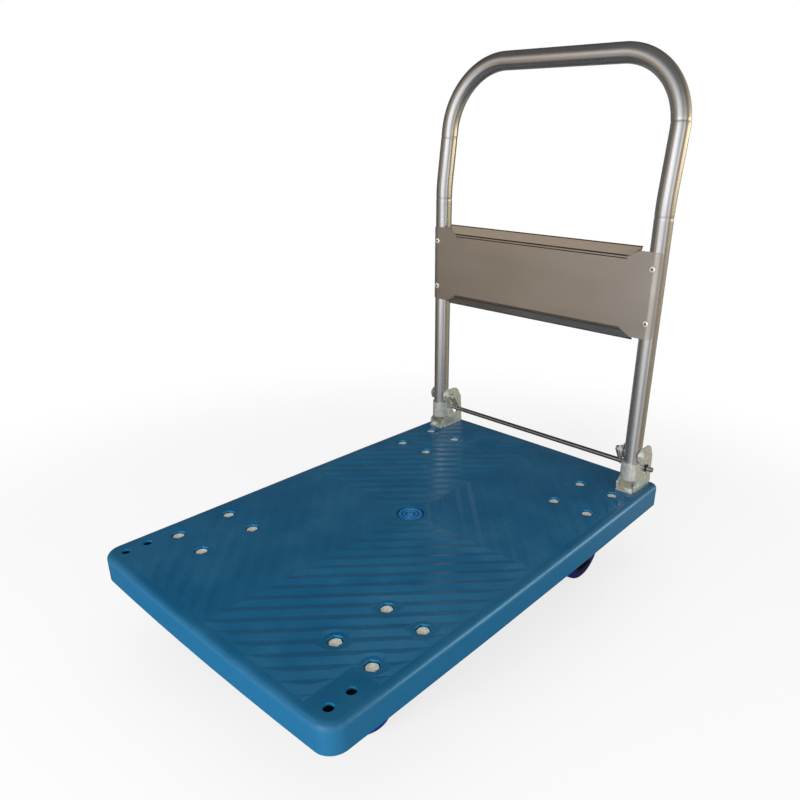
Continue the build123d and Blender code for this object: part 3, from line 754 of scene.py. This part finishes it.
tube_corners = [Vector((-leg_x, leg_y, tube_low.z)), Vector((-leg_x, leg_y, lean_start)),
                Vector((-leg_x, lean_y, axis_top))]
tube_corners += [Vector((-spot.x, spot.y, spot.z)) for spot in reversed(tube_corners)]
tube_path, bend_ends = bent_path(tube_corners, (lean_bend, top_bend, top_bend, lean_bend), path_step)
shifted = round(pinch_shift / path_step)
pinches = (bend_ends[0], bend_ends[2] - shifted, bend_ends[5] - shifted, bend_ends[7])
last = len(tube_path) - 1
kept = []
for n in range(last):
    if n % coarse_steps == 0 or min(abs(n - pinch) for pinch in pinches) < fine_steps:
        kept.append(n)
tube_path = [tube_path[n] for n in (*kept, last)]


def pinched_radius(place):
    """The tube's radius at a place along it, in metres."""
    nearest = min(abs(place - pinch * path_step) for pinch in pinches)
    return tube_radius - pinch_depth * exp(-((nearest / pinch_width) ** 2))


tube_steel = make_finish("tube_steel", (226, 224, 223), (212, 210, 208), rough=(0.21, 0.26),
                         sizes=(9 * mm, 0.7 * mm), relief=0.001 * mm, metal=0.94,
                         stretch=(0.06, 1, 1), space="UV")
tree = tube_steel.node_tree
drawn = add_node(tree, "ShaderNodeTangent", {"direction_type": "UV_MAP", "uv_map": "UVMap"})
tree.links.new(drawn.outputs["Tangent"], tree.nodes["Principled BSDF"].inputs["Tangent"])
tree.nodes["Principled BSDF"].inputs["Anisotropic"].default_value = tube_drawn
handle_tube = make_piece(swept(tube_path, pinched_radius, tube_sides), "bent_handle", tube_steel,
                         "handle", ["handle_tube"])
shade(handle_tube, turned_crease)

# Leg ends: plugs of natural nylon that close the lower ends of the tube. Their spiral end faces
# push the release rod aside when the handle folds.
nylon = make_finish("bearing_plastic", (190, 188, 178), (176, 172, 160), rough=(0.4, 0.5),
                    sizes=(9 * mm, 0.5 * mm), relief=0.02 * mm)
for side in ("left", "right"):
    dress(f"leg_plug_{side}", nylon, "bearing_plastic", f"leg_cam_{side}")

# Panel: one sheet of grey-brown coated steel, bent round both legs, with its upper and lower
# edges folded back to a dark rolled hem. Two creases, which lie so many mm above or below its
# middle, are pressed in beside each fold, and their grooves are painted dark as painted shade.
panel_mid = 466 * mm
panel_edge = 0.2 * mm
crease_places = (51, 55, -52.5, -55)
crease_reach = 0.8 * mm
crease_half = 166 * mm
crease_depths = (0.02 * mm, 1.1 * mm)
crease_off_middle = 1 * mm
hem_radius = 0.9 * mm
hem_half = 184 * mm
hem_rise = 69 * mm
hem_depth = 9 * mm
bar_sides = 12
panel_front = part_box("handle_panel")[0].y


def carve(shape, cutter):
    """The shape with the cutter taken out of it."""
    block, tool = [make_object(part, "carving") for part in (shape, cutter)]
    cut = block.modifiers.new("cut", "BOOLEAN")
    cut.operation = "DIFFERENCE"
    cut.solver = "MANIFOLD"
    cut.object = tool
    made = finished_shape(block)
    for holder in (block, tool):
        bpy.data.objects.remove(holder)
    return made


def cross_bar(half, y, z, radius):
    """A round bar across the cart, from -half to half."""
    return swept([Vector((-half, y, z)), Vector((half, y, z))], lambda place: radius, bar_sides)


def joined(shapes):
    """All the shapes in one."""
    whole = shapes[0]
    for shape in shapes[1:]:
        mesh = bpy.data.meshes.new("joining")
        shape.to_mesh(mesh)
        shape.free()
        whole.from_mesh(mesh)
        bpy.data.meshes.remove(mesh)
    return whole


panel_steel = make_finish("panel_steel", (200, 192, 184), (184, 176, 165), rough=(0.22, 0.28),
                          sizes=(70 * mm, 0.7 * mm), relief=0.001 * mm, metal=0.88, stretch=(0.3, 1, 1))
dark_hem_and_shade_steel = make_finish("dark_hem_and_shade_steel", (70, 60, 52), (54, 47, 42), rough=(0.4, 0.5),
                        sizes=(20 * mm, 0.7 * mm), relief=0.004 * mm, metal=0.6)
creases = [cross_bar(crease_half, panel_front, panel_mid + z * mm, crease_reach) for z in crease_places]
creased = whole_faces(carve(weld("handle_panel"), joined(creases)))
folded_panel = make_piece(creased, "folded_panel", panel_steel, "handle", ["handle_panel"],
                          more=[dark_hem_and_shade_steel])
# Painted shade: the creases' groove faces take the dark hem finish.
for face in folded_panel.data.polygons:
    beside = min(abs(face.center.z - panel_mid - z * mm) for z in crease_places) < crease_reach
    sunk = crease_depths[0] < face.center.y - panel_front < crease_depths[1]
    if beside and sunk and abs(face.center.x) < crease_off_middle:
        face.material_index = 1
round_edges(folded_panel, panel_edge)
hems = [cross_bar(hem_half, panel_front + hem_depth, panel_mid + sign * hem_rise, hem_radius)
        for sign in (-1, 1)]
shade(make_piece(joined(hems), "rolled_hems", dark_hem_and_shade_steel, "handle"), turned_crease)

# Panel screws: four bright pan heads with a deep round socket, painted dark as painted shade,
# driven through the panel's ears into the legs. Rings are (radius, level), in mm, and the first two
# bands of faces between them are the socket.
screw_rings = ((0, -0.4), (1.7, -0.4), (1.8, 2.3), (3, 2.2), (4.1, 1.6), (4.7, 0.7), (4.6, 0.5), (3.9, 0.4),
               (3.9, -0.4), (0, -0.8))
screw_sides = 32
socket_faces = 2 * screw_sides
screw_outline = [(r * mm, out * mm) for r, out in screw_rings]
screw_places = solid_middles("panel_screws")
screws = bmesh.new()
for middle in screw_places:
    lathe(screws, screw_outline, Vector((middle.x, panel_front, middle.z)), Vector((0, -1, 0)), screw_sides)
screw_heads = make_piece(screws, "pan_head_screws", bright_zinc, "handle", ["panel_screws"],
                         more=[dark_hem_and_shade_steel])
# Painted shade: the sockets' faces take the dark hem finish.
screw_faces = len(screw_heads.data.polygons) // len(screw_places)
for n, face in enumerate(screw_heads.data.polygons):
    face.material_index = int(n % screw_faces < socket_faces)
shade(screw_heads, turned_crease)

# Release rod: a bright steel bar behind the legs, kept in the brackets' slots by a black clip
# in a groove at each end.
clip_edge = 0.1 * mm
black_steel = make_finish("black_steel", (34, 33, 33), (52, 50, 48), rough=(0.35, 0.5),
                          sizes=(6 * mm, 0.4 * mm), relief=0.01 * mm, metal=0.6)
dress("cross_rod", bright_steel, "bright_steel", "release_rod")
dress("retaining_clips", black_steel, "black_steel", "rod_clips", edge=clip_edge)

# Rod springs: one steel wire each, wound as ten turns between two open loops, that draw the rod
# up towards the pivot.
spring_wire = 0.6 * mm
spring_coil = 3.4 * mm
spring_loop = 4.9 * mm
spring_lead = 7 * mm
spring_turns = 10
loop_sweep = radians(250)
steps_a_turn = 20
coil_steps = spring_turns * steps_a_turn
loop_steps = round(steps_a_turn * loop_sweep / (2 * pi))
wire_sides = 10
wire_crease = 60
rod_low, rod_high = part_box("release_rod")
rod_place = (rod_low + rod_high) / 2
pivot_low, pivot_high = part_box("pivot_bolt_right")
pivot_place = (pivot_low + pivot_high) / 2
for side, sign in (("left", -1), ("right", 1)):
    spring_low, spring_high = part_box(f"rod_spring_{side}")
    spring_x = (spring_low.x + spring_high.x) / 2
    top = Vector((spring_x, pivot_place.y, pivot_place.z))
    low = Vector((spring_x, rod_place.y, rod_place.z))
    axis = (low - top).normalized()
    across = Vector((sign, 0, 0))
    out = across.cross(axis)
    coil_length = (low - top).length - 2 * spring_lead
    wire = []
    for n in range(loop_steps + 1):
        turn = loop_sweep * (n / loop_steps - 1)
        wire.append(top + (out * cos(turn) + axis * sin(turn)) * spring_loop)
    for n in range(coil_steps + 1):
        turn = 2 * pi * n / steps_a_turn
        level = spring_lead + coil_length * n / coil_steps
        wire.append(top + axis * level + (out * cos(turn) + across * sin(turn)) * spring_coil)
    for n in range(loop_steps + 1):
        turn = loop_sweep * n / loop_steps
        wire.append(low + (out * cos(turn) + axis * sin(turn)) * spring_loop)
    wound = swept(wire, lambda place: spring_wire, wire_sides)
    spring = make_object(wound, f"tension_spring_{side}", bright_steel)
    shade(spring, wire_crease)
    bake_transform(spring)
    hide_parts(f"rod_spring_{side}")

# Casters: zinc plated forks with M10 axle bolts and nuts. The ones at the handle are fixed and
# the ones at the free end turn on a ring of balls under their plate, held by a kingpin.
ball_edge = 0.01 * mm
for side in ("left", "right"):
    dress(f"fixed_caster_{side}", zinc_steel, "zinc_steel", f"fixed_fork_{side}")
    dress(f"fixed_caster_axle_{side}", bright_steel, "bright_steel", f"fixed_axle_{side}",
          f"fixed_axle_nut_{side}")
    dress(f"swivel_top_{side}", zinc_steel, "zinc_steel", f"swivel_plate_{side}")
    dress(f"ball_ring_{side}", bright_steel, "bright_steel", f"swivel_balls_{side}", edge=ball_edge)
    dress(f"swivel_rivet_{side}", bright_steel, "bright_steel", f"kingpin_{side}")
    dress(f"swivel_caster_{side}", zinc_steel, "zinc_steel", f"swivel_fork_{side}")
    dress(f"swivel_caster_axle_{side}", bright_steel, "bright_steel", f"swivel_axle_{side}",
          f"swivel_axle_nut_{side}")

# Wheels: black plastic cores with a deep blue tread moulded on, whose blue is painted darker as
# painted shade under the deck. Each turns on a nylon bush that is pressed into its core.
tyre_rubber = make_finish("tyre_rubber", (8, 16, 92), (14, 24, 106), rough=(0.42, 0.55),
                          sizes=(20 * mm, 0.8 * mm), relief=0.05 * mm)
core_plastic = make_finish("core_plastic", (12, 12, 14), (20, 20, 22), rough=(0.4, 0.55),
                           sizes=(14 * mm, 0.7 * mm), relief=0.04 * mm)
for end in ("front", "rear"):
    for side in ("left", "right"):
        dress(f"{end}_tread_{side}", tyre_rubber, "tyre_rubber", f"{end}_tyre_{side}")
        dress(f"{end}_core_{side}", core_plastic, "core_plastic", f"{end}_wheel_core_{side}")
        dress(f"{end}_bush_{side}", nylon, "bearing_plastic", f"{end}_wheel_bush_{side}")

# Camera: it stands where the photograph was taken from, at the height of the panel's top, and
# its frame is shifted as the photograph's is.
camera_place = (0.6333, -0.6530, 0.6589)
camera_turn = radians(39.27)
camera_down = radians(22.54)
camera_roll = radians(1.6)
image_size = 800
focal_pixels = 679.5
picture_middle = (463.3, 431.6)

lens = bpy.data.cameras.new("photo_camera")
lens.sensor_width = 36.0
lens.lens = focal_pixels / image_size * lens.sensor_width
lens.shift_x = (image_size / 2 - picture_middle[0]) / image_size
lens.shift_y = (picture_middle[1] - image_size / 2) / image_size
camera = bpy.data.objects.new("photo_camera", lens)
turned = Matrix.Rotation(camera_turn, 4, "Z") @ Matrix.Rotation(pi / 2 - camera_down, 4, "X")
camera.matrix_world = Matrix.Translation(camera_place) @ turned @ Matrix.Rotation(camera_roll, 4, "Z")
bpy.context.scene.collection.objects.link(camera)
bpy.context.scene.camera = camera
bpy.context.scene.view_settings.view_transform = "Standard"

# Light: a pale world that is white to the camera and dim in reflections, and soft lamps. Some
# lamps light one piece only, and the last two of these give it a sheen and no light besides.
ambient = 0.55
sheen = 0.05
world = bpy.data.worlds.new("studio")
world.use_nodes = True
bpy.context.scene.world = world
tree = world.node_tree
rays = add_node(tree, "ShaderNodeLightPath").outputs
plain = add_node(tree, "ShaderNodeMapRange", inputs={
    "Value": rays["Is Camera Ray"], "To Min": ambient, "To Max": 1.0})
level = add_node(tree, "ShaderNodeMapRange", inputs={
    "Value": rays["Is Glossy Ray"], "To Min": plain.outputs["Result"], "To Max": sheen})
tree.links.new(level.outputs["Result"], tree.nodes["Background"].inputs["Strength"])
tree.nodes["Background"].inputs["Color"].default_value = (1, 1, 1, 1)


def add_lamp(name, place, target, size, power, colour=(1, 1, 1), mirrored=False, only=()):
    """A soft lamp. Steel shows it where it is mirrored, and it lights all pieces or only those given."""
    lamp = bpy.data.lights.new(name, "AREA")
    lamp.shape = "RECTANGLE"
    lamp.size, lamp.size_y = size
    lamp.energy = power
    lamp.color = colour
    lamp_object = bpy.data.objects.new(name, lamp)
    lamp_object.location = place
    aim = Vector(target) - Vector(place)
    lamp_object.rotation_euler = aim.to_track_quat("-Z", "Y").to_euler()
    lamp_object.visible_glossy = mirrored
    bpy.context.scene.collection.objects.link(lamp_object)
    if only:
        lit = bpy.data.collections.new(f"lit_by_{name}")
        for piece in only:
            lit.objects.link(piece)
        lamp_object.light_linking.receiver_collection = lit
    return lamp_object


add_lamp("ceiling", (0, -0.3, 2.6), (0, 0, 0), (2.6, 2.6), 8)
add_lamp("window", (0.2, -2.6, 0.75), (0, 0, 0.2), (1.6, 0.9), 66)
add_lamp("side_window", (2.7, 0.2, 0.75), (0, 0, 0.2), (1.6, 0.9), 29, (1.0, 0.96, 0.86))
add_lamp("tread_light", (1.9, 1.9, 0.75), (0, 0, 0.146), (1.6, 0.6), 24, only=[tread])
add_lamp("back_window", (1.47, 1.63, 0.84), (0, 0, 0.6), (2.0, 0.4), 5, (1.0, 0.80, 0.48),
         mirrored=True, only=[handle_tube])
add_lamp("ceiling_patch", (-1.1, -0.65, 2.1), (0, 0.3, 0.53), (1.4, 1.4), 2.3, (1.0, 0.84, 0.62),
         mirrored=True, only=[folded_panel])
edge_light = add_lamp("edge_light", (1.67, 1.33, 0.5), (0.24, 0, 0.146), (1.5, 0.9), 21, (0.5, 0.85, 1.0),
                      mirrored=True, only=[moulded_deck])
tread_sheen = add_lamp("tread_sheen", (-0.6, 0.8, 3.4), (-0.6, 0.8, 0), (2.4, 2.4), 10, (0.6, 0.88, 1.0),
                       mirrored=True, only=[tread])
for lamp in (edge_light, tread_sheen):
    lamp.visible_diffuse = False

# Floor: a plain pale floor. To the camera it is mostly white, with a share of its own shading
# near the cart, so that the cart's shadow stays.
floor_half = 12.0
floor_colour = (0.85, 0.85, 0.85, 1)
shadow_share = 0.25
shadow_reach = (0.7, 1.3)


def stage_material(name):
    """An empty material for the stage, with its tree and its output."""
    material = bpy.data.materials.new(name)
    material.use_nodes = True
    material.node_tree.nodes.clear()
    return material, material.node_tree, add_node(material.node_tree, "ShaderNodeOutputMaterial")


def stage_piece(shape, name, material):
    """A piece of the stage, which isn't part of the cart."""
    piece = make_object(shape, name, material)
    return piece


floor_paint, tree, end = stage_material("floor_white")
rays = add_node(tree, "ShaderNodeLightPath").outputs
spot = add_node(tree, "ShaderNodeTexCoord").outputs["Object"]
away = add_node(tree, "ShaderNodeVectorMath", {"operation": "LENGTH"}, {0: spot}).outputs["Value"]
share = fade(tree, away, *shadow_reach, 1.0 - shadow_share, 1.0)
white = add_node(tree, "ShaderNodeMath", {"operation": "MULTIPLY"}, {0: share, 1: rays["Is Camera Ray"]})
paper = add_node(tree, "ShaderNodeBsdfDiffuse", inputs={"Color": floor_colour})
glow = add_node(tree, "ShaderNodeEmission", inputs={"Color": (1, 1, 1, 1), "Strength": 1.0})
both = add_node(tree, "ShaderNodeMixShader", inputs={
    0: white.outputs[0], 1: paper.outputs[0], 2: glow.outputs[0]})
tree.links.new(both.outputs[0], end.inputs["Surface"])
floor_shape = bmesh.new()
bmesh.ops.create_grid(floor_shape, x_segments=1, y_segments=1, size=floor_half)
floor = stage_piece(floor_shape, "floor", floor_paint)
floor.visible_glossy = False

# Reflection wall: a round wall that only mirrored rays see, so that the steel shows a room: pale
# in front, gold to the right and dark brown behind. Its stops are degrees round or metres up.
wall_radius = 2.4
wall_reach = (-3.0, 3.6)
wall_tall = wall_reach[1] - wall_reach[0]
wall_sides = 96
brightest = 2.0
wall_colours = (
    (-180, (0.05, 0.045, 0.04)),
    (-150, (0.12, 0.10, 0.08)),
    (-131, (0.31, 0.25, 0.19)),
    (-122, (0.35, 0.30, 0.245)),
    (-112, (0.39, 0.385, 0.37)),
    (-96, (1.00, 1.02, 1.05)),
    (-66, (1.05, 1.08, 1.12)),
    (-48, (0.74, 0.76, 0.79)),
    (-34, (0.40, 0.40, 0.41)),
    (-26, (0.44, 0.44, 0.45)),
    (-12, (0.74, 0.74, 0.73)),
    (4, (0.26, 0.22, 0.16)),
    (42, (0.26, 0.21, 0.14)),
    (50, (0.38, 0.35, 0.26)),
    (66, (0.38, 0.35, 0.26)),
    (78, (0.20, 0.16, 0.11)),
    (105, (0.06, 0.05, 0.045)),
    (180, (0.05, 0.045, 0.04)),
)
wall_levels = (
    (-3.0, 0.1),
    (-1.3, 0.15),
    (-0.9, 0.75),
    (0.3, 0.95),
    (0.8, 1.4),
    (1.6, 1.4),
    (2.2, 0.5),
    (2.8, 0.3),
    (3.6, 0.2),
)


def add_ramp(tree, value, stops):
    """A colour ramp over value, from 0 to 1, with stops of (position, colour)."""
    ramp = add_node(tree, "ShaderNodeValToRGB", inputs={"Fac": value})
    marks = ramp.color_ramp.elements
    marks[0].position, marks[0].color = stops[0][0], (*stops[0][1], 1)
    marks[-1].position, marks[-1].color = stops[-1][0], (*stops[-1][1], 1)
    for position, colour in stops[1:-1]:
        marks.new(position).color = (*colour, 1)
    return ramp.outputs["Color"]


wall_paint, tree, end = stage_material("wall_glow")
spot = add_node(tree, "ShaderNodeTexCoord").outputs["Object"]
bearing = add_node(tree, "ShaderNodeTexGradient", {"gradient_type": "RADIAL"}, {"Vector": spot})
colour_stops = [((degrees + 180) / 360, colour) for degrees, colour in wall_colours]
colour = add_ramp(tree, bearing.outputs["Fac"], colour_stops)
height = add_node(tree, "ShaderNodeMapRange", inputs={
    "Value": add_node(tree, "ShaderNodeSeparateXYZ", inputs={0: spot}).outputs["Z"],
    "From Min": wall_reach[0], "From Max": wall_reach[1]})
level_stops = [((z - wall_reach[0]) / wall_tall, [level / brightest] * 3) for z, level in wall_levels]
level = add_ramp(tree, height.outputs["Result"], level_stops)
level = add_node(tree, "ShaderNodeMath", {"operation": "MULTIPLY"}, {0: level, 1: brightest})
glow = add_node(tree, "ShaderNodeEmission", inputs={"Color": colour, "Strength": level.outputs[0]})
tree.links.new(glow.outputs[0], end.inputs["Surface"])
wall_shape = bmesh.new()
bmesh.ops.create_cone(wall_shape, cap_ends=False, segments=wall_sides, radius1=wall_radius,
                      radius2=wall_radius, depth=wall_tall)
bmesh.ops.translate(wall_shape, verts=wall_shape.verts, vec=(0, 0, sum(wall_reach) / 2))
wall = stage_piece(wall_shape, "reflection_wall", wall_paint)

# Back screen: a low grey screen just inside that wall, between two bearings in degrees, which the
# steel shows when it is seen from behind. Only mirrored rays see it, like the wall.
screen_radius = 0.97 * wall_radius
screen_turns = (85, 160)
screen_reach = (-0.9, 0.45)
screen_steps = 12
screen_grey = (0.18, 0.18, 0.185, 1)
screen_paint, tree, end = stage_material("screen_glow")
glow = add_node(tree, "ShaderNodeEmission", inputs={"Color": screen_grey, "Strength": 1.0})
tree.links.new(glow.outputs[0], end.inputs["Surface"])
screen_shape = bmesh.new()
before = None
for n in range(screen_steps + 1):
    turn = radians(screen_turns[0] + (screen_turns[1] - screen_turns[0]) * n / screen_steps)
    out = Vector((cos(turn), sin(turn), 0)) * screen_radius
    post = [screen_shape.verts.new(out + Vector((0, 0, z))) for z in screen_reach]
    if before:
        screen_shape.faces.new((before[0], post[0], post[1], before[1]))
    before = post
screen = stage_piece(screen_shape, "back_screen", screen_paint)
for backdrop in (wall, screen):
    backdrop.visible_camera = False
    backdrop.visible_diffuse = False
    backdrop.visible_shadow = False
    backdrop.visible_transmission = False
